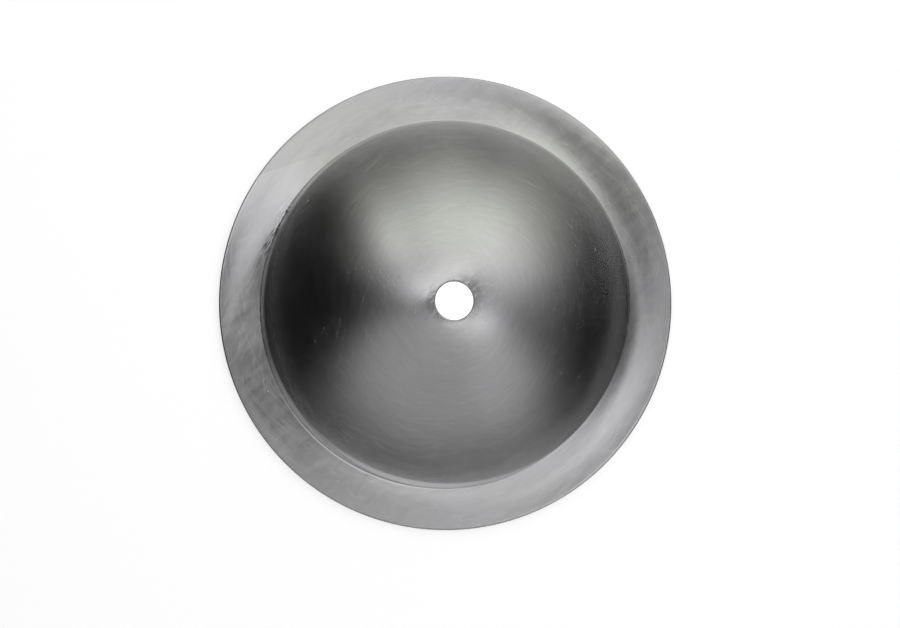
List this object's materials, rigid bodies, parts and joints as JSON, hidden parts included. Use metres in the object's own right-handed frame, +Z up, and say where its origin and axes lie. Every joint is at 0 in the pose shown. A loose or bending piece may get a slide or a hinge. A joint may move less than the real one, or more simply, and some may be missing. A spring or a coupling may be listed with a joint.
{
  "type": "bell cymbal",
  "caption": "Small spun steel bell cymbal: a domed bell standing in a flat rim, with a round centre hole for a cymbal stand.",
  "frame": {"origin": "on the bell's axis, in the plane that the rim's underside lies on", "axes": "+Z up along the bell's axis, from the rim to the crown; X and Y lie in the rim's plane"},
  "size_m": [0.1524, 0.1524, 0.036],
  "materials": {
    "spun_steel": "bare grey metal with fine turning marks round the axis, hand polished and lightly scratched"
  },
  "bodies": {
    "root": {"bell_cymbal": "spun_steel"}
  },
  "joints": []
}
